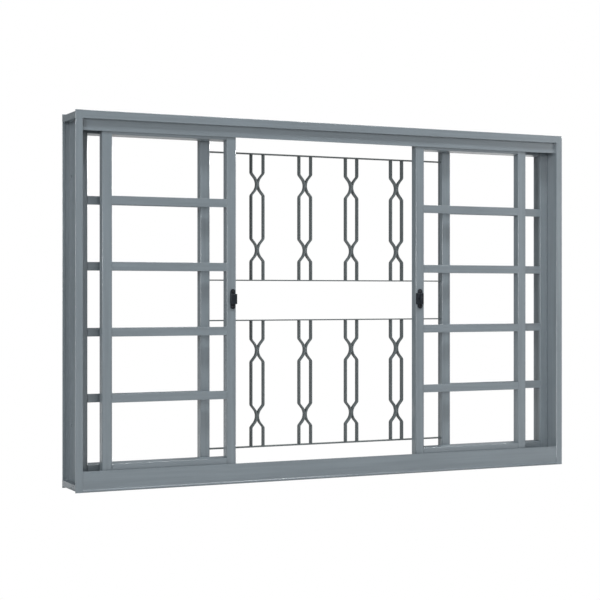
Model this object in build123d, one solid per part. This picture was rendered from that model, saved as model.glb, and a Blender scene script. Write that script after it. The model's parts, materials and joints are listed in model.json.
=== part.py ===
from build123d import *
import os
from math import cos, radians, tan

# Four-leaf sliding steel window with a security grille across its centre opening.
# +X runs to the right as seen from the latch side, +Y runs from that front to the back, +Z is up.
# The origin is the middle of the width and depth, at the underside of the sill.
# Depths are counted from the front face of the frame and turned into Y by at_depth().

# Frame
window_width = 1500.0
window_height = 980.0
window_depth = 120.0
sheet = 1.5
hem_width = 6.5
hem_round = 1.4
bend_round = 1.4
head_leg = 21.5
sill_leg = 20.0
jamb_leg = 20.0
end_plate_inset = 4.4

# Tracks
sill_fascia_depth = 1.5
head_fascia_depth = 9.0
head_fascia_drop = 29.8
head_mid_lip_depth = 41.0
head_mid_lip_drop = 22.0
head_rear_lip_depth = 76.5
head_rear_lip_drop = 18.0
sill_fascia_height = 54.0
sill_bead_height = 6.5
roller_rail_width = 3.0
roller_rail_height = 6.0
fixed_seat_height = 12.5

# Wall fixing holes in the jambs
fixing_hole_radius = 4.25
fixing_hole_depth = 96.0
fixing_hole_heights = (165.0, 815.0)

# Sashes
stile_width = 26.5
sash_thickness = 25.0
tube_wall = 1.2
tube_round = 1.6
sliding_sash_depth = 12.0
fixed_sash_depth = 47.0
fixed_sash_width = 367.0
sash_bottom = 34.0
sliding_sash_top = 951.0
sliding_pane_area = (72.0, 918.0)
fixed_pane_area = (68.5, 921.5)
rail_slope = 3.5
middle_gap = 1.0
left_sash_open = 300.8
right_sash_open = 254.5

# Glazing bars, T section
bar_count = 4
bar_pitch = 171.2
bar_height = 22.5
bar_flange = 1.6
bar_web = 1.5
bar_web_depth = 15.0
bar_round = 0.7

# Security grille, flat bar on edge
flat_thickness = 3.2
flat_depth = 16.0
grille_depth = 54.0
grille_panel_height = 349.5
grille_panel_bottoms = {"lower": 88.7, "upper": 544.4}
pair_count = 4
pair_spread = 36.2
weld_gap = 0.3
crossing_offset = 90.0
slant_angle = 40.0
shoulder_radius = 8.0
touch_radius = 30.0

# Rollers and guides
wheel_radius = 11.0
wheel_groove_radius = 9.5
wheel_width = 7.0
groove_width = 4.0
groove_flare = 0.6
running_gap = 0.06
axle_radius = 2.5
axle_head_radius = 3.6
axle_head = 1.0
housing_length = 36.0
housing_width = 22.2
housing_bottom = 31.0
housing_slot = 8.0
housing_slot_length = 25.0
housing_slot_top = 50.0
roller_inset = 48.0
guide_length = 32.0
guide_width = 29.6
guide_height = 5.0
guide_chamfer = 1.5

# Rubber stops on the jambs
stop_radius = 6.0
stop_length = 6.0
stop_stem_radius = 2.5
stop_bulb_radius = 3.6
stop_bulb_length = 3.0
stop_heights = (44.0, 940.0)

# Latch on the right sash, keeper on the left sash
latch_height = 495.0
plate_thickness = 2.5
block_proud = 9.0
block_round = 2.2
latch_block = {"width": 21.5, "height": 32.0, "lobe_radius": 7.0, "lobe_offset": 12.9, "reach": 28.0}
keeper_block = {"width": 17.0, "height": 27.5, "lobe_radius": 6.6, "lobe_offset": 9.6, "reach": 27.0}
bolt_travel = 8.0
bolt_length = 14.0
bolt_height = 10.0
bolt_thickness = 4.4
bolt_setback = 0.6
bolt_clearance = 0.3
bolt_back_gap = 2.3
stem_width = 5.0
stem_height = 4.4
thumb_width = 6.5
thumb_height = 20.0
thumb_proud = 11.2
thumb_lift = 0.4
keeper_pocket_depth = 8.5
screw_head_radius = 2.9
screw_head_height = 1.6
screw_shank_radius = 1.5
screw_shank_length = 8.0

# Worked out from the sizes above
half_width = window_width / 2
head_underside = window_height - head_leg
track_sheet_top = head_underside - sheet
jamb_face = half_width - jamb_leg
sash_width = half_width / 2 - middle_gap * 1.5
fixed_sash_inner_edge = jamb_face - fixed_sash_width
sliding_centre_depth = sliding_sash_depth + sash_thickness / 2
roller_rail_top = sill_leg + sheet + roller_rail_height
wheel_centre_height = roller_rail_top + wheel_groove_radius + running_gap
pane_area_middle = sum(sliding_pane_area) / 2
left_sash_left = -left_sash_open - middle_gap / 2 - sash_width
right_sash_left = right_sash_open + middle_gap / 2


def at_depth(depth):
    return depth - window_depth / 2


def block(x_range, depth_range, z_range):
    """A plain rectangular solid between two X, two depths and two heights."""
    x0, x1 = x_range
    y0, y1 = (at_depth(depth) for depth in depth_range)
    z0, z1 = z_range
    return Pos((x0 + x1) / 2, (y0 + y1) / 2, (z0 + z1) / 2) * Box(x1 - x0, y1 - y0, z1 - z0)


def y_cylinder(x, depth_range, z, radius):
    y0, y1 = (at_depth(depth) for depth in depth_range)
    return Pos(x, (y0 + y1) / 2, z) * Rot(90, 0, 0) * Cylinder(radius, y1 - y0)


def x_cylinder(x_range, depth, z, radius):
    x0, x1 = x_range
    return Pos((x0 + x1) / 2, at_depth(depth), z) * Rot(0, 90, 0) * Cylinder(radius, x1 - x0)


def save(node, *solids):
    shape = solids[0] if len(solids) == 1 else Compound(children=list(solids))
    export_step(shape, f"parts/{node}.step")


# ---------------------------------------------------------------- frame

def channel_profile(leg):
    """U section: outer edges of both flanges are folded back once, at height 0; the web is at leg."""
    far = window_depth
    points = [
        (0, 0), (2 * sheet, 0), (2 * sheet, hem_width), (sheet, hem_width),
        (sheet, leg - sheet), (far - sheet, leg - sheet),
        (far - sheet, hem_width), (far - 2 * sheet, hem_width), (far - 2 * sheet, 0), (far, 0),
        (far, leg), (0, leg),
    ]
    face = make_face(Polyline(points, close=True))
    hem_corners = face.vertices().filter_by(lambda corner: corner.Y < 0.01)
    face = fillet(hem_corners, hem_round)
    web_corners = face.vertices().filter_by(lambda corner: corner.Y > leg - 0.01)
    return fillet(web_corners, bend_round)


def channel(origin, run, length, leg):
    """Extrude the U section from origin along run; its depth always lies along +Y."""
    plane = Plane(origin=origin, x_dir=(0, 1, 0), z_dir=run)
    return extrude(plane * channel_profile(leg), amount=length)


def along_x(points_yz, x_range):
    """Extrude an outline given as (depth, height) points between two X positions."""
    outline = Polyline([(at_depth(depth), z) for depth, z in points_yz], close=True)
    plane = Plane(origin=(x_range[0], 0, 0), x_dir=(0, 1, 0), z_dir=(1, 0, 0))
    return extrude(plane * make_face(outline), amount=x_range[1] - x_range[0])


def end_plates(z_range):
    """Plates that close both ends of the head or the sill, between the folded flanges."""
    depths = (2 * sheet, window_depth - 2 * sheet)
    left = block((-half_width, -half_width + sheet), depths, z_range)
    right = block((half_width - sheet, half_width), depths, z_range)
    return left, right


def head_channel():
    """Head, with its front flange cut back at both ends to fit between the flanges of the jambs."""
    head = channel((half_width, at_depth(0), window_height), (-1, 0, 0), window_width, head_leg)
    above = (head_underside - 1, window_height + 1)
    for side in (-1, 1):
        cut_end = side * (half_width + 1)
        head -= block(sorted((side * jamb_face, cut_end)), (-1, sheet), above)
        head -= block(sorted((side * (half_width - hem_width), cut_end)), (-1, 2 * sheet), above)
    left, right = end_plates((head_underside + sheet / 2, window_height - end_plate_inset))
    return head + left + right


def sill_bead():
    """Half-round drip bead along the foot of the sill fascia."""
    front = at_depth(sill_fascia_depth)
    back = front + sheet
    arc = ThreePointArc((front, 0), (at_depth(0), sill_bead_height / 2), (front, sill_bead_height))
    outline = arc + Polyline([arc @ 1, (back, sill_bead_height), (back, 0), arc @ 0])
    plane = Plane(origin=(-jamb_face, 0, 0), x_dir=(0, 1, 0), z_dir=(1, 0, 0))
    return extrude(plane * make_face(outline), amount=2 * jamb_face)


def sill_channel():
    front = sill_fascia_depth
    behind_fascia = front + sheet
    web = block((-jamb_face, jamb_face), (front, window_depth), (sill_leg - sheet, sill_leg))
    web += block((-half_width, half_width), (behind_fascia, window_depth), (sill_leg - sheet, sill_leg))
    fascia = block((-jamb_face, jamb_face), (front, behind_fascia),
                   (sill_bead_height / 2, sill_fascia_height))
    fold = block((-jamb_face, jamb_face), (front, behind_fascia + sheet),
                 (sill_fascia_height - hem_width, sill_fascia_height))
    fold_edges = fold.edges().filter_by(Axis.X).group_by(Axis.Z)[-1]
    fold = fillet(fold_edges, hem_round)
    back = block((-half_width, half_width), (window_depth - sheet, window_depth), (0, sill_leg))
    back_hem = block((-half_width, half_width), (window_depth - 2 * sheet, window_depth), (0, hem_width))
    left, right = end_plates((end_plate_inset, sill_leg - sheet / 2))
    return web + fascia + fold + sill_bead() + back + back_hem + left + right


def jamb_flange_end(z_range):
    """Left jamb's front flange and its hem, past the end of the jamb's web."""
    z_low, z_high = z_range
    flange = block((-half_width, -jamb_face), (0, sheet), (z_low, z_high))
    hem = block((-half_width, -half_width + hem_width), (0, 2 * sheet), (z_low, z_high))
    both = flange + hem
    return fillet(both.edges().filter_by(Axis.Z).group_by(Axis.X)[0], hem_round)


def jamb(side):
    """One jamb, -1 for the left and +1 for the right. Its front flange has the window's full height."""
    length = head_underside - sill_leg
    start = head_underside if side < 0 else sill_leg
    body = channel((side * half_width, at_depth(0), start), (0, 0, side), length, jamb_leg)
    for z_range in ((0, sill_leg), (head_underside, window_height)):
        flange_end = jamb_flange_end(z_range)
        body += flange_end if side < 0 else mirror(flange_end, about=Plane.YZ)
    web = sorted((side * (half_width + 1), side * (jamb_face - 1)))
    for height in fixing_hole_heights:
        body -= x_cylinder(web, fixing_hole_depth, height, fixing_hole_radius)
    for height in stop_heights:
        body -= x_cylinder(web, sliding_centre_depth, height, stop_stem_radius)
    return body


def top_track():
    """Folded guide under the head: front fascia, middle lip and rear lip hanging from one sheet."""
    top = head_underside
    under = track_sheet_top
    mid = head_mid_lip_depth
    rear = head_rear_lip_depth
    front = head_fascia_depth
    points = [
        (front, top), (front, top - head_fascia_drop),
        (front + sheet, top - head_fascia_drop), (front + sheet, under),
        (mid, under), (mid, top - head_mid_lip_drop), (mid + sheet, top - head_mid_lip_drop),
        (mid + sheet, under), (rear, under), (rear, top - head_rear_lip_drop),
        (rear + sheet, top - head_rear_lip_drop), (rear + sheet, top),
    ]
    track = along_x(points, (-jamb_face, jamb_face))
    low_edges = track.edges().filter_by(Axis.X).group_by(Axis.Z)[0]
    return fillet(low_edges, sheet / 2.2)


def bottom_track():
    """Sheet on the sill that carries the roller rail and the raised seat of the fixed sashes."""
    base = sill_leg
    deck = base + sheet
    seat_top = deck + fixed_seat_height
    seat_front = fixed_sash_depth
    seat_back = fixed_sash_depth + sash_thickness
    track_front = sill_fascia_depth + sheet
    rail_front = sliding_centre_depth - roller_rail_width / 2
    rail_back = sliding_centre_depth + roller_rail_width / 2
    points = [
        (track_front, base), (seat_front + sheet, base), (seat_front + sheet, seat_top - sheet),
        (seat_back - sheet, seat_top - sheet), (seat_back - sheet, base),
        (window_depth - 2 * sheet, base), (window_depth - 2 * sheet, deck),
        (seat_back, deck), (seat_back, seat_top), (seat_front, seat_top), (seat_front, deck),
        (rail_back, deck), (rail_back, roller_rail_top), (rail_front, roller_rail_top),
        (rail_front, deck), (track_front, deck),
    ]
    track = along_x(points, (-jamb_face, jamb_face))
    rail_top = track.edges().filter_by(Axis.X).filter_by(
        lambda edge: abs(edge.center().Z - roller_rail_top) < 0.01
        and abs(edge.center().Y - at_depth(sliding_centre_depth)) < roller_rail_width
    )
    return fillet(rail_top, roller_rail_width / 2.2)


def jamb_stops(side):
    """Two rubber stops that plug into one jamb and meet the sash at the end of its travel."""
    stops = []
    for height in stop_heights:
        face = side * jamb_face
        nose = face - side * stop_length
        web_back = face + side * sheet
        bulb_end = web_back + side * stop_bulb_length
        head = x_cylinder(sorted((face, nose)), sliding_centre_depth, height, stop_radius)
        head = fillet(head.edges().filter_by(GeomType.CIRCLE).sort_by_distance(
            (nose, at_depth(sliding_centre_depth), height))[0], stop_radius / 3)
        stem = x_cylinder(sorted((face, web_back)), sliding_centre_depth, height, stop_stem_radius)
        bulb = x_cylinder(sorted((web_back, bulb_end)), sliding_centre_depth, height, stop_bulb_radius)
        stops.append(head + stem + bulb)
    return stops


# ---------------------------------------------------------------- sashes

def upright_tube(left, front, z_range):
    """Hollow stile with rounded corners."""
    outer = RectangleRounded(stile_width, sash_thickness, tube_round)
    inner = Rectangle(stile_width - 2 * tube_wall, sash_thickness - 2 * tube_wall)
    centre = Pos(left + stile_width / 2, at_depth(front + sash_thickness / 2), z_range[0])
    return extrude(centre * (outer - inner), amount=z_range[1] - z_range[0])


def slope_at(depth, front):
    """Distance of a rail's pane side from the pane area: none at the back, rail_slope at the front."""
    return rail_slope * (1 - (depth - front) / sash_thickness)


def top_rail(x_range, front, top, pane_top):
    """Closed tube between the stiles; its underside rises to the front."""
    back = front + sash_thickness
    inner_front = front + tube_wall
    inner_back = back - tube_wall
    outer = along_x([(front, top), (back, top), (back, pane_top), (front, pane_top + rail_slope)], x_range)
    outer = fillet(outer.edges().filter_by(Axis.X), tube_round)
    inner_top = top - tube_wall
    inner_low = pane_top + tube_wall
    hollow = along_x([(inner_front, inner_top), (inner_back, inner_top),
                      (inner_back, inner_low + slope_at(inner_back, front)),
                      (inner_front, inner_low + slope_at(inner_front, front))], x_range)
    return outer - hollow


def bottom_rail(x_range, front, pane_bottom):
    """Rail that is open below, where the rollers sit inside it; its top face rises to the back."""
    back = front + sash_thickness
    inner_front = front + tube_wall
    inner_back = back - tube_wall
    inner_top = pane_bottom - tube_wall
    points = [
        (front, sash_bottom), (inner_front, sash_bottom),
        (inner_front, inner_top - slope_at(inner_front, front)),
        (inner_back, inner_top - slope_at(inner_back, front)),
        (inner_back, sash_bottom), (back, sash_bottom),
        (back, pane_bottom), (front, pane_bottom - rail_slope),
    ]
    rail = along_x(points, x_range)
    by_depth = rail.edges().filter_by(Axis.X).group_by(Axis.Y)
    outer_corners = [edges.sort_by(Axis.Z)[-1] for edges in (by_depth[0], by_depth[-1])]
    return fillet(outer_corners, tube_wall)


def glazing_bars(x_range, front):
    """The horizontal T bars of one sash: flange at the front, web behind it."""
    bars = []
    for index in range(bar_count):
        middle = pane_area_middle + (index - (bar_count - 1) / 2) * bar_pitch
        half = bar_height / 2
        flange = block(x_range, (front, front + bar_flange), (middle - half, middle + half))
        long_edges = flange.edges().filter_by(Axis.X).group_by(Axis.Y)[0]
        flange = fillet(long_edges, bar_round)
        web = block(x_range, (front + bar_flange, front + bar_flange + bar_web_depth),
                    (middle - bar_web / 2, middle + bar_web / 2))
        bars.append(flange + web)
    return bars


def screw_hole_cutters(x, front, lobe_height):
    """Clearance for the two fixing screws of the latch or the keeper, through the stile's front wall."""
    through_wall = (front - 1, front + 2 * tube_wall)
    heights = (latch_height - lobe_height, latch_height + lobe_height)
    return [y_cylinder(x, through_wall, height, screw_shank_radius) for height in heights]


def save_sash(name, left, width, front, top, pane_area, drilled=None, cutters=()):
    """Write the five pieces of one sash. drilled names the stile that the cutters go through."""
    pane_bottom, pane_top = pane_area
    right = left + width
    between = (left + stile_width, right - stile_width)
    stiles = {
        "left_stile": upright_tube(left, front, (sash_bottom, top)),
        "right_stile": upright_tube(right - stile_width, front, (sash_bottom, top)),
    }
    for cutter in cutters:
        stiles[drilled] -= cutter
    for piece, shape in stiles.items():
        save(f"{name}_{piece}", shape)
    save(f"{name}_top_rail", top_rail(between, front, top, pane_top))
    save(f"{name}_bottom_rail", bottom_rail(between, front, pane_bottom))
    save(f"{name}_glazing_bars", *glazing_bars(between, front))


# ---------------------------------------------------------------- rollers and guides

def roller_wheel(x):
    """Grooved nylon wheel that rides over the roller rail."""
    half = wheel_width / 2
    half_groove = groove_width / 2
    bore = axle_radius + running_gap
    outline = Polyline([
        (bore, -half), (wheel_radius, -half), (wheel_radius, -half_groove - groove_flare),
        (wheel_groove_radius, -half_groove), (wheel_groove_radius, half_groove),
        (wheel_radius, half_groove + groove_flare), (wheel_radius, half), (bore, half),
    ], close=True)
    wheel = revolve(make_face(Plane.XZ * outline), Axis.Z)
    return Pos(x, at_depth(sliding_centre_depth), wheel_centre_height) * Rot(90, 0, 0) * wheel


def roller_axle(x):
    """Pin across the housing, with a flat head at each end."""
    middle = sliding_centre_depth
    half = housing_width / 2
    z = wheel_centre_height
    pin = y_cylinder(x, (middle - half, middle + half), z, axle_radius)
    front_head = y_cylinder(x, (middle - half, middle - half + axle_head), z, axle_head_radius)
    back_head = y_cylinder(x, (middle + half - axle_head, middle + half), z, axle_head_radius)
    return pin + front_head + back_head


def roller_housing(x):
    """Moulded block inside the bottom rail, slotted for the wheel and bored for the axle."""
    middle = sliding_centre_depth
    half = housing_width / 2
    front = middle - half
    back = middle + half
    top = sliding_pane_area[0] - tube_wall
    body = along_x([(front, housing_bottom), (back, housing_bottom),
                    (back, top - slope_at(back, sliding_sash_depth)),
                    (front, top - slope_at(front, sliding_sash_depth))],
                   (x - housing_length / 2, x + housing_length / 2))
    body -= block((x - housing_slot_length / 2, x + housing_slot_length / 2),
                  (middle - housing_slot / 2, middle + housing_slot / 2),
                  (housing_bottom - 1, housing_slot_top))
    z = wheel_centre_height
    body -= y_cylinder(x, (front - 1, back + 1), z, axle_radius)
    body -= y_cylinder(x, (front - 1, front + axle_head), z, axle_head_radius)
    body -= y_cylinder(x, (back - axle_head, back + 1), z, axle_head_radius)
    return body


def top_guide(x):
    """Nylon slider on top of the sash, nearly as wide as the guide channel."""
    channel_middle = (head_fascia_depth + sheet + head_mid_lip_depth) / 2
    start = channel_middle - guide_width / 2
    body = block((x - guide_length / 2, x + guide_length / 2), (start, start + guide_width),
                 (sliding_sash_top, sliding_sash_top + guide_height))
    upper_edges = body.edges().group_by(Axis.Z)[-1]
    return chamfer(upper_edges, guide_chamfer)


def save_running_gear(name, left):
    roller_places = (left + roller_inset, left + sash_width - roller_inset)
    for side, x in zip(("left", "right"), roller_places):
        save(f"{name}_{side}_wheel", roller_wheel(x))
    save(f"{name}_roller_axles", *[roller_axle(x) for x in roller_places])
    save(f"{name}_roller_housings", *[roller_housing(x) for x in roller_places])
    save(f"{name}_top_guides", *[top_guide(x) for x in roller_places])


# ---------------------------------------------------------------- latch

def latch_body(sizes, edge, side):
    """Plate with a round lobe above and below, and a raised block flush with the meeting edge."""
    front = sliding_sash_depth
    width = sizes["width"]
    half = sizes["height"] / 2
    lobe_x = edge + side * sizes["lobe_offset"]
    lobe_z = sizes["reach"] - sizes["lobe_radius"]
    block_x = sorted((edge, edge + side * width))
    raised = block(block_x, (front - block_proud, front), (latch_height - half, latch_height + half))
    outer_edges = raised.edges().filter_by(Axis.X).group_by(Axis.Y)[0]
    far_edges = raised.edges().filter_by(Axis.Z).group_by(Axis.Y)[0].sort_by_distance(
        (edge + side * width, at_depth(front - block_proud), latch_height))
    raised = fillet(outer_edges + ShapeList([far_edges[0]]), block_round)
    radius = sizes["lobe_radius"]
    strip = block((lobe_x - radius, lobe_x + radius), (front - plate_thickness, front),
                  (latch_height - lobe_z, latch_height + lobe_z))
    body = raised + strip
    for sign in (-1, 1):
        z = latch_height + sign * lobe_z
        body += y_cylinder(lobe_x, (front - plate_thickness, front), z, radius)
        body -= y_cylinder(lobe_x, (front - plate_thickness - 1, front + 1), z, screw_shank_radius)
    return body


def bolt_depths(clearance):
    back = sliding_sash_depth - bolt_back_gap + clearance
    return back - bolt_thickness - 2 * clearance, back


def latch_case(edge):
    """Latch on the right sash: the block is tunnelled for the bolt and slotted for its stem."""
    body = latch_body(latch_block, edge, 1)
    half = bolt_height / 2 + bolt_clearance
    tunnel_end = edge + bolt_setback + bolt_length + bolt_clearance
    body -= block((edge - 1, tunnel_end), bolt_depths(bolt_clearance),
                  (latch_height - half, latch_height + half))
    stem_end = edge + bolt_setback + bolt_length
    slot_half = stem_height / 2 + bolt_clearance
    body -= block((stem_end - stem_width - bolt_travel - bolt_clearance, tunnel_end),
                  (0, sliding_sash_depth - bolt_back_gap - bolt_thickness / 2),
                  (latch_height - slot_half, latch_height + slot_half))
    return body


def latch_bolt(edge):
    """Sliding bolt with a stem through the slot and a ribbed thumb piece on the front."""
    start = edge + bolt_setback
    end = start + bolt_length
    depths = bolt_depths(0)
    bolt = block((start, end), depths, (latch_height - bolt_height / 2, latch_height + bolt_height / 2))
    stem_middle = end - stem_width / 2
    thumb_back = sliding_sash_depth - block_proud - thumb_lift
    thumb_front = sliding_sash_depth - thumb_proud
    stem = block((end - stem_width, end), (thumb_back, depths[1]),
                 (latch_height - stem_height / 2, latch_height + stem_height / 2))
    thumb = block((stem_middle - thumb_width / 2, stem_middle + thumb_width / 2), (thumb_front, thumb_back),
                  (latch_height - thumb_height / 2, latch_height + thumb_height / 2))
    front_edges = thumb.edges().group_by(Axis.Y)[0]
    thumb = fillet(front_edges, thumb_lift)
    return bolt + stem + thumb


def keeper(edge):
    """Keeper on the left sash, with a pocket that the bolt enters when the sashes are closed."""
    body = latch_body(keeper_block, edge, -1)
    half = bolt_height / 2 + 2 * bolt_clearance
    pocket = block((edge - keeper_pocket_depth, edge + 1), bolt_depths(2 * bolt_clearance),
                   (latch_height - half, latch_height + half))
    return body - pocket


def latch_screws(sizes, edge, side):
    screws = []
    x = edge + side * sizes["lobe_offset"]
    seat = sliding_sash_depth - plate_thickness
    for sign in (-1, 1):
        z = latch_height + sign * (sizes["reach"] - sizes["lobe_radius"])
        head = y_cylinder(x, (seat - screw_head_height, seat), z, screw_head_radius)
        rim = head.edges().filter_by(GeomType.CIRCLE).sort_by(Axis.Y)[0]
        head = fillet(rim, screw_head_height / 2)
        shank = y_cylinder(x, (seat, seat + screw_shank_length), z, screw_shank_radius)
        screws.append(head + shank)
    return screws


# ---------------------------------------------------------------- grille

def bent_bar(middle, side, z_range):
    """One flat on edge, bent inwards twice so that it meets its partner below and above the middle."""
    low, high = z_range
    spread = pair_spread / 2
    touch = (flat_thickness + weld_gap) / 2
    apex = touch - touch_radius * (1 / cos(radians(slant_angle)) - 1)
    rise = (spread - apex) / tan(radians(slant_angle))
    corners = [(side * spread, low)]
    radii = []
    for offset in (-crossing_offset, crossing_offset):
        height = (low + high) / 2 + offset
        corners += [(side * spread, height - rise), (side * apex, height), (side * spread, height + rise)]
        radii += [shoulder_radius, touch_radius, shoulder_radius]
    corners.append((side * spread, high))
    plane = Plane(origin=(middle, at_depth(grille_depth), 0), x_dir=(1, 0, 0), z_dir=(0, -1, 0))
    path = plane * FilletPolyline(*corners, radius=radii)
    start = Plane(origin=path @ 0, x_dir=(1, 0, 0), z_dir=path % 0)
    section = start * Rectangle(flat_thickness, flat_depth, align=(Align.CENTER, Align.MIN))
    return sweep(section, path)


def save_grille():
    opening = (-fixed_sash_inner_edge, fixed_sash_inner_edge)
    bay = 2 * fixed_sash_inner_edge / (pair_count + 1)
    depths = (grille_depth, grille_depth + flat_depth)
    for panel, bottom in grille_panel_bottoms.items():
        top = bottom + grille_panel_height
        between_flats = (bottom + flat_thickness, top - flat_thickness)
        save(f"{panel}_grille_bottom_flat", block(opening, depths, (bottom, bottom + flat_thickness)))
        save(f"{panel}_grille_top_flat", block(opening, depths, (top - flat_thickness, top)))
        for number in range(1, pair_count + 1):
            middle = opening[0] + number * bay
            bars = [bent_bar(middle, side, between_flats) for side in (-1, 1)]
            save(f"{panel}_grille_pair_{number}", *bars)


# ---------------------------------------------------------------- whole window

def main():
    os.makedirs("parts", exist_ok=True)
    save("head_channel", head_channel())
    save("sill_channel", sill_channel())
    save("left_jamb", jamb(-1))
    save("right_jamb", jamb(1))
    save("top_track", top_track())
    save("bottom_track", bottom_track())
    save("left_jamb_stops", *jamb_stops(-1))
    save("right_jamb_stops", *jamb_stops(1))

    for name, left in (("left_fixed_sash", -jamb_face), ("right_fixed_sash", fixed_sash_inner_edge)):
        save_sash(name, left, fixed_sash_width, fixed_sash_depth, track_sheet_top, fixed_pane_area)

    left_edge = left_sash_left + sash_width
    keeper_x = left_edge - keeper_block["lobe_offset"]
    keeper_lobe = keeper_block["reach"] - keeper_block["lobe_radius"]
    save_sash("left_sash", left_sash_left, sash_width, sliding_sash_depth, sliding_sash_top,
              sliding_pane_area, "right_stile",
              screw_hole_cutters(keeper_x, sliding_sash_depth, keeper_lobe))
    latch_x = right_sash_left + latch_block["lobe_offset"]
    latch_lobe = latch_block["reach"] - latch_block["lobe_radius"]
    save_sash("right_sash", right_sash_left, sash_width, sliding_sash_depth, sliding_sash_top,
              sliding_pane_area, "left_stile",
              screw_hole_cutters(latch_x, sliding_sash_depth, latch_lobe))
    save_running_gear("left_sash", left_sash_left)
    save_running_gear("right_sash", right_sash_left)

    save("latch_case", latch_case(right_sash_left))
    save("latch_bolt", latch_bolt(right_sash_left))
    save("latch_screws", *latch_screws(latch_block, right_sash_left, 1))
    save("keeper", keeper(left_edge))
    save("keeper_screws", *latch_screws(keeper_block, left_edge, -1))
    save_grille()


main()
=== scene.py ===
import json
from math import cos, pi, radians, sin

import bmesh
import bpy
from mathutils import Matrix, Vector


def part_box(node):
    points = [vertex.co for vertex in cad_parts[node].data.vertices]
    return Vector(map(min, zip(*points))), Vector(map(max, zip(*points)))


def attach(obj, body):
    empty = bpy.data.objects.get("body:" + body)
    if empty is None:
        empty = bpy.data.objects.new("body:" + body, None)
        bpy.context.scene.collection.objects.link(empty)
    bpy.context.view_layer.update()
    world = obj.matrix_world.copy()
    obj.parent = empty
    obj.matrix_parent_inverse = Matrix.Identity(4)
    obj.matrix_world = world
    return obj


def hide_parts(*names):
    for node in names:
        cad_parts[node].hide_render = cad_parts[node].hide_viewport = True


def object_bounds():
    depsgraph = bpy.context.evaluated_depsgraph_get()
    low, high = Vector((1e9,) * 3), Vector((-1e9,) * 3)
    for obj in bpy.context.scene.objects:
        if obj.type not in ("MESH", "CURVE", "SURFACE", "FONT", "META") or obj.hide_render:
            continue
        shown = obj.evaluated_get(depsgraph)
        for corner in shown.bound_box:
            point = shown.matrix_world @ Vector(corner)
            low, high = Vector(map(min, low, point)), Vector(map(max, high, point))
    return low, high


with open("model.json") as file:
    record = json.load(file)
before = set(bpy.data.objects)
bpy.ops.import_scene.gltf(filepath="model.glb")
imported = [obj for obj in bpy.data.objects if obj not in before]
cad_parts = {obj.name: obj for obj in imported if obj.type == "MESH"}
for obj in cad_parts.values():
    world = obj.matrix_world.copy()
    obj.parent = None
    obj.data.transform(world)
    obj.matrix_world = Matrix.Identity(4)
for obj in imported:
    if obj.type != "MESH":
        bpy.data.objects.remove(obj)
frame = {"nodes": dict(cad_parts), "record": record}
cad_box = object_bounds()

scene = bpy.context.scene
nodes = frame["nodes"]
mm = 0.001

x_axis = Vector((1, 0, 0))
y_axis = Vector((0, 1, 0))
z_axis = Vector((0, 0, 1))

# Sizes of the CAD pieces that the node boxes don't give
sheet = 1.5 * mm
flat_thickness = 3.2 * mm
crossing_offset = 90 * mm
pair_count = 4
bar_count = 4
bar_height = 22.5 * mm
bar_flange = 1.6 * mm

# Weld beads
ripple_length = 1.7 * mm
end_weld_radius = 1.3 * mm
crossing_weld_radius = 1.5 * mm
crossing_weld_reach = 7 * mm
flange_weld_radius = 1.2 * mm
web_weld_radius = 1.0 * mm
corner_weld_radius = 1.8 * mm
corner_weld_front = 40 * mm
corner_weld_rear = 5 * mm
weld_inset = 1 * mm
crossing_weld_inset = 0.5 * mm

# Plugs in the fixing holes
plug_flange_width = 1.5 * mm
plug_flange_thickness = 0.8 * mm

# Screws of the latch and the keeper
screw_head_height = 1.6 * mm
screw_shank_radius = 1.5 * mm
thread_pitch = 1.0 * mm
recess_reach = 1.7 * mm
recess_arm = 0.45 * mm
recess_depth = 0.95 * mm

# Grip ribs on the latch's thumb piece
thumb_width = 6.5 * mm
rib_radius = 0.75 * mm
rib_spacing = 1.9 * mm
rib_end_inset = 2 * mm
rib_sink = 0.2 * mm

sharp_angle = radians(35)

# ---------------------------------------------------------------- camera

camera_lens = 87.72      # millimetres
sensor_width = 36.0      # millimetres
camera_shift = -0.01
camera_yaw = 25.34       # degrees to the right of straight ahead
camera_place = (-1.82786, -3.67387, 0.50851)


def make_camera():
    """Level camera in front of the latch side, to the left of the window and turned back towards it."""
    data = bpy.data.cameras.new("camera")
    data.sensor_width = sensor_width
    data.lens = camera_lens
    data.shift_y = camera_shift
    camera = bpy.data.objects.new("camera", data)
    camera.location = camera_place
    camera.rotation_euler = (radians(90), 0, radians(-camera_yaw))
    scene.collection.objects.link(camera)
    scene.camera = camera


# ---------------------------------------------------------------- materials

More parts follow.
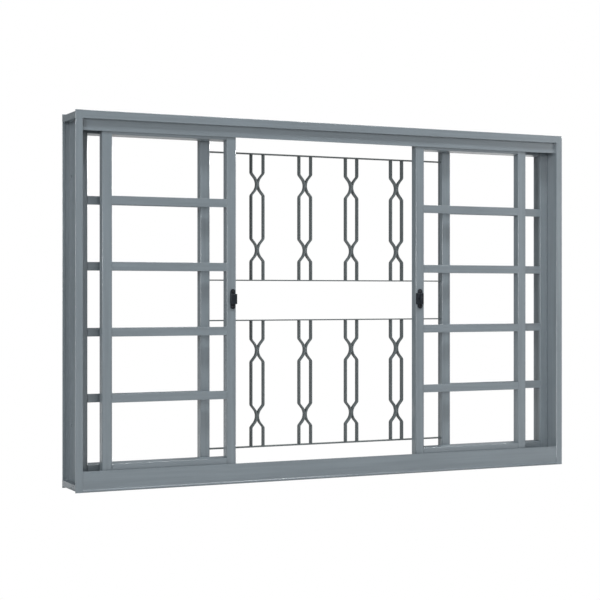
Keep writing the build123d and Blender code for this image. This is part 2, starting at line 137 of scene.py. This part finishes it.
class Shader:
    """A node material with a Principled shader and short helpers for the textures that feed it."""

    def __init__(self, name, roughness, metallic=0.0, specular=0.5):
        self.material = bpy.data.materials.new(name)
        self.material.use_nodes = True
        self.tree = self.material.node_tree
        self.surface = self.tree.nodes["Principled BSDF"]
        self.surface.inputs["Roughness"].default_value = roughness
        self.surface.inputs["Metallic"].default_value = metallic
        self.surface.inputs["Specular IOR Level"].default_value = specular
        self.coordinates = self.tree.nodes.new("ShaderNodeTexCoord").outputs["Object"]

    def link(self, source, target):
        self.tree.links.new(source, target)

    def stretched(self, scale):
        """Object coordinates scaled along each axis."""
        mapping = self.tree.nodes.new("ShaderNodeMapping")
        mapping.inputs["Scale"].default_value = scale
        self.link(self.coordinates, mapping.inputs["Vector"])
        return mapping.outputs["Vector"]

    def noise(self, scale, detail=3.0, roughness=0.5, stretch=None):
        noise = self.tree.nodes.new("ShaderNodeTexNoise")
        noise.inputs["Scale"].default_value = scale
        noise.inputs["Detail"].default_value = detail
        noise.inputs["Roughness"].default_value = roughness
        self.link(self.stretched(stretch) if stretch else self.coordinates, noise.inputs["Vector"])
        return noise.outputs["Fac"]

    def spread(self, value, low, high, start=0.3, end=0.7):
        """Map a texture value from start..end to low..high."""
        remap = self.tree.nodes.new("ShaderNodeMapRange")
        remap.inputs["From Min"].default_value = start
        remap.inputs["From Max"].default_value = end
        remap.inputs["To Min"].default_value = low
        remap.inputs["To Max"].default_value = high
        self.link(value, remap.inputs["Value"])
        return remap.outputs["Result"]

    def tint(self, value, first, second):
        """Blend from first to second colour by a value."""
        mix = self.tree.nodes.new("ShaderNodeMix")
        mix.data_type = "RGBA"
        self.link(value, mix.inputs["Factor"])
        for socket, colour in (("A_Color", first), ("B_Color", second)):
            target = next(item for item in mix.inputs if item.identifier == socket)
            if isinstance(colour, tuple):
                target.default_value = (*colour, 1)
            else:
                self.link(colour, target)
        return next(item for item in mix.outputs if item.identifier == "Result_Color")

    def bump(self, height, strength, distance):
        bump = self.tree.nodes.new("ShaderNodeBump")
        bump.inputs["Strength"].default_value = strength
        bump.inputs["Distance"].default_value = distance
        self.link(height, bump.inputs["Height"])
        self.link(bump.outputs["Normal"], self.surface.inputs["Normal"])


def scaled(colour, factor):
    return tuple(factor * part for part in colour)


# Scale of the primer's streaks along each axis: the small one draws them out that way
upright_grain = (1, 1, 0.03)
level_grain = (0.03, 1, 1)


def primer(name, colour, roughness, gloss_coat, grain):
    """Satin primer on rolled steel: faint clouds, thin streaks along the piece, speckle and orange peel."""
    shader = Shader(name, roughness=roughness)
    shader.surface.inputs["Coat Weight"].default_value = gloss_coat
    shader.surface.inputs["Coat Roughness"].default_value = 0.2
    clouds = shader.spread(shader.noise(7.0), 0, 1)
    streaks = shader.spread(shader.noise(130.0, detail=2.0, stretch=grain), 0, 1)
    speckle = shader.spread(shader.noise(900.0, detail=1.0), 0, 0.3)
    base = shader.tint(clouds, scaled(colour, 0.97), scaled(colour, 1.05))
    base = shader.tint(streaks, base, scaled(colour, 0.84))
    shader.link(shader.tint(speckle, base, scaled(colour, 0.86)), shader.surface.inputs["Base Color"])
    gloss = shader.spread(shader.noise(25.0), roughness - 0.04, roughness + 0.06)
    shader.link(gloss, shader.surface.inputs["Roughness"])
    shader.bump(shader.noise(550.0, detail=2.0), 0.2, 0.12 * mm)
    return shader.material


def zinc():
    """Zinc plate with a faint level grain."""
    shader = Shader("zinc", roughness=0.35, metallic=1.0)
    grain = shader.noise(120.0, stretch=(1, 1, 14))
    shader.link(shader.tint(grain, (0.62, 0.62, 0.60), (0.48, 0.48, 0.46)),
                shader.surface.inputs["Base Color"])
    shader.link(shader.spread(grain, 0.28, 0.45), shader.surface.inputs["Roughness"])
    return shader.material


def black_oxide():
    """Blackened steel of the latch's and the keeper's screws."""
    shader = Shader("black_oxide", roughness=0.4, metallic=1.0)
    mottle = shader.noise(300.0)
    shader.link(shader.tint(mottle, (0.020, 0.020, 0.022), (0.045, 0.045, 0.048)),
                shader.surface.inputs["Base Color"])
    shader.link(shader.spread(mottle, 0.34, 0.48), shader.surface.inputs["Roughness"])
    return shader.material


def nylon():
    """Natural nylon, mottled and slightly matt."""
    shader = Shader("nylon", roughness=0.45)
    mottle = shader.noise(60.0)
    shader.link(shader.tint(mottle, (0.78, 0.77, 0.72), (0.70, 0.68, 0.62)),
                shader.surface.inputs["Base Color"])
    shader.link(shader.spread(mottle, 0.4, 0.55), shader.surface.inputs["Roughness"])
    shader.bump(shader.noise(1500.0), 0.2, 0.05 * mm)
    return shader.material


def black_plastic():
    """Moulded plastic with a fine spark-eroded grain."""
    shader = Shader("black_plastic", roughness=0.42, specular=0.2)
    mottle = shader.noise(80.0)
    shader.link(shader.tint(mottle, (0.003, 0.005, 0.008), (0.006, 0.009, 0.013)),
                shader.surface.inputs["Base Color"])
    shader.link(shader.spread(mottle, 0.36, 0.5), shader.surface.inputs["Roughness"])
    shader.bump(shader.noise(2600.0, detail=1.0), 0.35, 0.06 * mm)
    return shader.material


def rubber():
    """Matt black rubber."""
    shader = Shader("rubber", roughness=0.8, specular=0.3)
    mottle = shader.noise(150.0)
    shader.link(shader.tint(mottle, (0.030, 0.030, 0.031), (0.045, 0.045, 0.045)),
                shader.surface.inputs["Base Color"])
    shader.bump(shader.noise(1200.0), 0.3, 0.08 * mm)
    return shader.material


blue_grey = (0.110, 0.133, 0.149)
dark_grey = (0.062, 0.074, 0.077)

# Each paint slot's material name, colour, roughness and weight of its gloss coat
paints = {
    "frame_paint": ("frame_primer", blue_grey, 0.32, 0.6),
    "sash_paint": ("sash_primer", blue_grey, 0.32, 0.6),
    "grille_paint": ("grille_primer", dark_grey, 0.5, 0),
}

materials = {
    **{slot: primer(*paint, upright_grain) for slot, paint in paints.items()},
    "zinc_steel": zinc(),
    "black_steel": black_oxide(),
    "nylon": nylon(),
    "latch_plastic": black_plastic(),
    "stop_rubber": rubber(),
}

level_materials = {slot: primer(f"{name}_level", *look, level_grain)
                   for slot, (name, *look) in paints.items()}

edge_radii = {
    "frame_paint": 0.7 * mm,
    "sash_paint": 0.55 * mm,
    "grille_paint": 0.4 * mm,
    "latch_plastic": 0.5 * mm,
}
bevel_segments = 2
bevel_angle = radians(40)
merge_distance = 0.005 * mm


def dress_cad_nodes():
    """Give every CAD node its material, and the painted and moulded ones softly rounded edges.

    The grain of a painted piece runs along it, and that of a set of glazing bars along each bar.
    """
    for name, node in nodes.items():
        slot = node.data.materials[0].name.split(".")[0]
        low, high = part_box(name)
        lies = high[0] - low[0] > high[2] - low[2] or name.endswith("glazing_bars")
        node.data.materials[0] = (level_materials if lies else materials).get(slot, materials[slot])
        if slot in edge_radii:
            weld = node.modifiers.new("weld", "WELD")
            weld.merge_threshold = merge_distance
            bevel = node.modifiers.new("soft_edges", "BEVEL")
            bevel.width = edge_radii[slot]
            bevel.segments = bevel_segments
            bevel.limit_method = "ANGLE"
            bevel.angle_limit = bevel_angle
            bevel.harden_normals = True


# ---------------------------------------------------------------- pieces

def add_piece(name, mesh, body, slot):
    """Turn a bmesh into a smooth-shaded object that rides on a body."""
    data = bpy.data.meshes.new(name)
    bmesh.ops.recalc_face_normals(mesh, faces=mesh.faces)
    mesh.to_mesh(data)
    mesh.free()
    data.materials.append(materials[slot])
    data.shade_smooth()
    piece = bpy.data.objects.new(name, data)
    scene.collection.objects.link(piece)
    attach(piece, body)
    return piece


def ring(mesh, centre, radius, side, up, count):
    """A circle of vertices round centre, in the plane of the unit vectors side and up."""
    angles = [2 * pi * index / count for index in range(count)]
    return [mesh.verts.new(centre + radius * (cos(angle) * side + sin(angle) * up)) for angle in angles]


def join_rings(mesh, rings):
    """Skin a row of vertex rings, with a face over each end."""
    for before, after in zip(rings, rings[1:]):
        for index in range(len(before)):
            neighbour = (index + 1) % len(before)
            mesh.faces.new((before[index], before[neighbour], after[neighbour], after[index]))
    mesh.faces.new(rings[0])
    mesh.faces.new(rings[-1])


def weld_bead(mesh, start, end, radius):
    """Rippled weld bead with tapered ends, centred on the line from start to end."""
    start, end = Vector(start), Vector(end)
    run = end - start
    side = run.orthogonal().normalized()
    up = run.cross(side).normalized()
    rings_per_ripple = 4
    step_count = max(6, round(run.length / ripple_length * rings_per_ripple))
    end_share = 0.02
    ripple_swell = 0.14
    rings = []
    for step in range(step_count + 1):
        share = end_share + (1 - 2 * end_share) * step / step_count
        ripple = 1 + ripple_swell * cos(2 * pi * share * run.length / ripple_length)
        taper = sin(pi * share) ** 0.4
        rings.append(ring(mesh, start + run * share, radius * ripple * taper, side, up, 8))
    join_rings(mesh, rings)


def weld_across(mesh, low, high, x, z):
    """Bead along the depth of a grille piece whose box runs from low to high."""
    weld_bead(mesh, (x, low[1] + weld_inset, z), (x, high[1] - weld_inset, z), end_weld_radius)


def make_grille_welds():
    """Beads at the bars' ends and crossings, and where the flats meet the fixed sashes."""
    for panel in ("lower", "upper"):
        mesh = bmesh.new()
        panel_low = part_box(f"{panel}_grille_bottom_flat")[0]
        panel_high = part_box(f"{panel}_grille_top_flat")[1]
        middle_height = (panel_low[2] + panel_high[2]) / 2
        for flat in ("bottom_flat", "top_flat"):
            low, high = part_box(f"{panel}_grille_{flat}")
            for x in (low[0], high[0]):
                for z in (low[2], high[2]):
                    weld_across(mesh, low, high, x, z)
        for number in range(1, pair_count + 1):
            low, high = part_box(f"{panel}_grille_pair_{number}")
            for x in (low[0], low[0] + flat_thickness, high[0] - flat_thickness, high[0]):
                for z in (low[2], high[2]):
                    weld_across(mesh, low, high, x, z)
            x = (low[0] + high[0]) / 2
            for sign in (-1, 1):
                z = middle_height + sign * crossing_offset
                for y in (low[1] + crossing_weld_inset, high[1] - crossing_weld_inset):
                    weld_bead(mesh, (x, y, z - crossing_weld_reach), (x, y, z + crossing_weld_reach),
                              crossing_weld_radius)
        add_piece(f"{panel}_grille_welds", mesh, "root", "grille_paint")


def make_sash_welds():
    """Beads behind each glazing bar, where its flange and web meet the stiles."""
    bodies = {"left_fixed_sash": "root", "right_fixed_sash": "root",
              "left_sash": "left_sash", "right_sash": "right_sash"}
    for sash, body in bodies.items():
        mesh = bmesh.new()
        low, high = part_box(f"{sash}_glazing_bars")
        first = low[2] + bar_height / 2
        pitch = (high[2] - low[2] - bar_height) / (bar_count - 1)
        flange_back = low[1] + bar_flange
        flange_edge = bar_height / 2 - weld_inset
        web_clearance = 2 * mm
        web_side = 0.9 * mm
        for index in range(bar_count):
            z = first + index * pitch
            for x in (low[0], high[0]):
                for sign in (-1, 1):
                    weld_bead(mesh, (x, flange_back, z + sign * web_clearance),
                              (x, flange_back, z + sign * flange_edge), flange_weld_radius)
                    weld_bead(mesh, (x, flange_back + web_clearance, z + sign * web_side),
                              (x, high[1] - weld_inset, z + sign * web_side), web_weld_radius)
        add_piece(f"{sash}_welds", mesh, body, "sash_paint")


def make_frame_welds():
    """Beads in the back corners of the frame, where the jambs meet the head and the bottom track."""
    mesh = bmesh.new()
    head_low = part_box("head_channel")[0][2]
    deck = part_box("bottom_track")[0][2] + sheet
    back = cad_box[1][1]
    for x in (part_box("left_jamb")[1][0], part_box("right_jamb")[0][0]):
        for z in (head_low, deck):
            weld_bead(mesh, (x, back - corner_weld_front, z), (x, back - corner_weld_rear, z),
                      corner_weld_radius)
    add_piece("frame_corner_welds", mesh, "root", "frame_paint")


def make_fixing_plugs():
    """Painted plugs that close the fixing holes in the jambs, each with a thin flange on the inside."""
    mesh = bmesh.new()
    for mount in frame["record"]["mounts"]:
        if mount["kind"] != "bolt_pattern":
            continue
        middle = Vector(mount["pos_m"])
        outward = Vector(mount["axis"])
        hole_radius = mount["dims"]["hole_r_mm"] * mm
        flange_radius = hole_radius + plug_flange_width
        outline = [(flange_radius, -sheet - plug_flange_thickness), (flange_radius, -sheet),
                   (hole_radius, -sheet), (hole_radius, 0)]
        for sign in (-1, 1):
            place = middle + sign * mount["dims"]["spacing_y_mm"] / 2 * mm * z_axis
            join_rings(mesh, [ring(mesh, place + distance * outward, radius, y_axis, z_axis, 32)
                              for radius, distance in outline])
    plugs = add_piece("fixing_plugs", mesh, "root", "frame_paint")
    plugs.data.set_sharp_from_angle(angle=sharp_angle)


def cross_cutter(place):
    """Tapered cross that cuts a screw's recess; it narrows with depth."""
    mesh = bmesh.new()
    corners = ((-1, -1), (1, -1), (1, 1), (-1, 1))
    for along, across in ((x_axis, z_axis), (z_axis, x_axis)):
        rings = []
        for distance, share in ((-0.5 * mm, 1.15), (recess_depth, 0.45)):
            centre = place + distance * y_axis
            reach = share * recess_reach * along
            arm = share * recess_arm * across
            rings.append([mesh.verts.new(centre + a * reach + b * arm) for a, b in corners])
        join_rings(mesh, rings)
    bmesh.ops.recalc_face_normals(mesh, faces=mesh.faces)
    data = bpy.data.meshes.new("cross_cutter")
    mesh.to_mesh(data)
    mesh.free()
    return data


def screw_outline(radius, length):
    """Pan head, ridged shank and point, as (radius, distance) points along the screw."""
    outline = [(0.02 * mm, 0)]
    dome_steps = 8
    dome_height = 0.85 * screw_head_height
    for step in range(1, dome_steps + 1):
        angle = radians(90) * step / dome_steps
        outline.append((radius * sin(angle), dome_height * (1 - cos(angle))))
    outline.append((radius, screw_head_height))
    outline.append((0.8 * screw_shank_radius, screw_head_height))
    steps_per_turn = 6
    thread_start = screw_head_height + 0.2 * mm
    point_length = 2 * mm
    turns = int((length - screw_head_height - point_length) / thread_pitch)
    for step in range(steps_per_turn * turns):
        ridge = 0.5 + 0.5 * cos(2 * pi * step / steps_per_turn)
        outline.append((screw_shank_radius * (0.74 + 0.22 * ridge),
                        thread_start + step * thread_pitch / steps_per_turn))
    outline.append((0.05 * mm, length))
    return outline


def make_screws(node, body):
    """Two cross-recessed screws in place of a node's plain ones."""
    low, high = (Vector(corner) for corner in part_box(node))
    radius = (high.x - low.x) / 2
    outline = screw_outline(radius, high.y - low.y)
    mesh = bmesh.new()
    cutters = []
    for z in (low.z + radius, high.z - radius):
        place = Vector((low.x + radius, low.y, z))
        join_rings(mesh, [ring(mesh, place + distance * y_axis, reach, x_axis, z_axis, 32)
                          for reach, distance in outline])
        cutters.append(cross_cutter(place))
    piece = add_piece(f"{node}_detailed", mesh, body, "black_steel")
    for number, data in enumerate(cutters):
        cutter = bpy.data.objects.new(f"cutter_{number}", data)
        scene.collection.objects.link(cutter)
        recess = piece.modifiers.new("recess", "BOOLEAN")
        recess.operation = "DIFFERENCE"
        recess.object = cutter
        recess.use_self = True
        bpy.context.view_layer.update()
        carved = piece.evaluated_get(bpy.context.evaluated_depsgraph_get())
        mesh_data = bpy.data.meshes.new_from_object(carved)
        piece.modifiers.remove(recess)
        piece.data = mesh_data
        bpy.data.objects.remove(cutter)
    piece.data.set_sharp_from_angle(angle=sharp_angle)
    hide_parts(node)


def make_thumb_ribs():
    """Three rounded grip ribs down the front of the latch's thumb piece."""
    low, high = (Vector(corner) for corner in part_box("latch_bolt"))
    bottom = Vector((high.x - thumb_width / 2, low.y + rib_sink, low.z + rib_end_inset))
    length = high.z - low.z - 2 * rib_end_inset
    steps = 10
    mesh = bmesh.new()
    for number in (-1, 0, 1):
        rings = []
        for step in range(steps + 1):
            share = step / steps
            centre = bottom + number * rib_spacing * x_axis + share * length * z_axis
            taper = 0.25 + 0.75 * sin(pi * share) ** 0.3
            rings.append(ring(mesh, centre, rib_radius * taper, x_axis, y_axis, 12))
        join_rings(mesh, rings)
    add_piece("thumb_ribs", mesh, "latch_bolt", "latch_plastic")


# ---------------------------------------------------------------- studio

floor_reach = 12.0       # metres
floor_grey = (0.4, 0.4, 0.4)
white = (1, 1, 1, 1)
brightest_direction = Vector((-0.2, -0.8, 0.55)).normalized()
darkest_cosine = -0.35
darkest_strength = 0.2
brightest_strength = 0.6


def seen_or_lit(tree, seen, lit, output):
    """Show one shader to the camera directly, and light the scene with the other."""
    path = tree.nodes.new("ShaderNodeLightPath")
    mix = tree.nodes.new("ShaderNodeMixShader")
    tree.links.new(path.outputs["Is Camera Ray"], mix.inputs["Fac"])
    tree.links.new(lit, mix.inputs[1])
    tree.links.new(seen, mix.inputs[2])
    tree.links.new(mix.outputs["Shader"], output)


def make_floor():
    """Floor that the camera sees as clean white, and that lights the window as a mid grey."""
    mesh = bpy.data.meshes.new("floor")
    corners = [(-floor_reach, -floor_reach, 0), (floor_reach, -floor_reach, 0),
               (floor_reach, floor_reach, 0), (-floor_reach, floor_reach, 0)]
    mesh.from_pydata(corners, [], [(0, 1, 2, 3)])
    floor = bpy.data.objects.new("floor", mesh)
    scene.collection.objects.link(floor)
    shader = Shader("floor", roughness=0.9, specular=0.1)
    shader.surface.inputs["Base Color"].default_value = (*floor_grey, 1)
    glow = shader.tree.nodes.new("ShaderNodeEmission")
    seen_or_lit(shader.tree, glow.outputs["Emission"], shader.surface.outputs["BSDF"],
                shader.tree.nodes["Material Output"].inputs["Surface"])
    mesh.materials.append(shader.material)


def area_light(name, place, target, size, power):
    """Softbox of a given width and height in metres and power in watts, turned towards target."""
    data = bpy.data.lights.new(name, "AREA")
    data.shape = "RECTANGLE"
    data.size, data.size_y = size
    data.energy = power
    light = bpy.data.objects.new(name, data)
    light.location = place
    light.rotation_euler = (Vector(target) - Vector(place)).to_track_quat("-Z", "Y").to_euler()
    scene.collection.objects.link(light)


def make_world():
    """Backdrop that the camera sees as white; its light is strongest from above the front."""
    world = bpy.data.worlds.new("studio")
    world.use_nodes = True
    tree = world.node_tree
    direction = tree.nodes.new("ShaderNodeTexCoord").outputs["Generated"]
    along = tree.nodes.new("ShaderNodeVectorMath")
    along.operation = "DOT_PRODUCT"
    along.inputs[1].default_value = brightest_direction
    tree.links.new(direction, along.inputs[0])
    ramp = tree.nodes.new("ShaderNodeMapRange")
    ramp.inputs["From Min"].default_value = darkest_cosine
    ramp.inputs["To Min"].default_value = darkest_strength
    ramp.inputs["To Max"].default_value = brightest_strength
    tree.links.new(along.outputs["Value"], ramp.inputs["Value"])
    lit = tree.nodes["Background"]
    lit.inputs["Color"].default_value = white
    tree.links.new(ramp.outputs["Result"], lit.inputs["Strength"])
    seen = tree.nodes.new("ShaderNodeBackground")
    seen.inputs["Color"].default_value = white
    seen_or_lit(tree, seen.outputs["Background"], lit.outputs["Background"],
                tree.nodes["World Output"].inputs["Surface"])
    scene.world = world


def make_studio():
    """Tall softboxes from the left, a wide one overhead, a weak one from the right and one from behind."""
    make_world()
    scene.view_settings.view_transform = "Standard"
    area_light("tall_key", (-7.5, -11.1, 2.2), (0.2, 0, 0.5), (0.9, 5.6), 560)
    area_light("side_key", (-12.0, -7.2, 3.0), (0.2, 0, 0.5), (1.0, 5.6), 1300)
    area_light("high_key", (0.7, -2.1, 5.6), (0.7, 0, 0.5), (4.6, 0.8), 440)
    area_light("right_fill", (5.6, -5.2, 1.4), (0.3, 0, 0.5), (1.2, 2.4), 45)
    area_light("back_fill", (8.0, 4.8, 4.0), (0, 0, 0.5), (2.0, 2.5), 1400)


make_camera()
dress_cad_nodes()
make_grille_welds()
make_sash_welds()
make_frame_welds()
make_fixing_plugs()
make_screws("latch_screws", "right_sash")
make_screws("keeper_screws", "left_sash")
make_thumb_ribs()
make_floor()
make_studio()
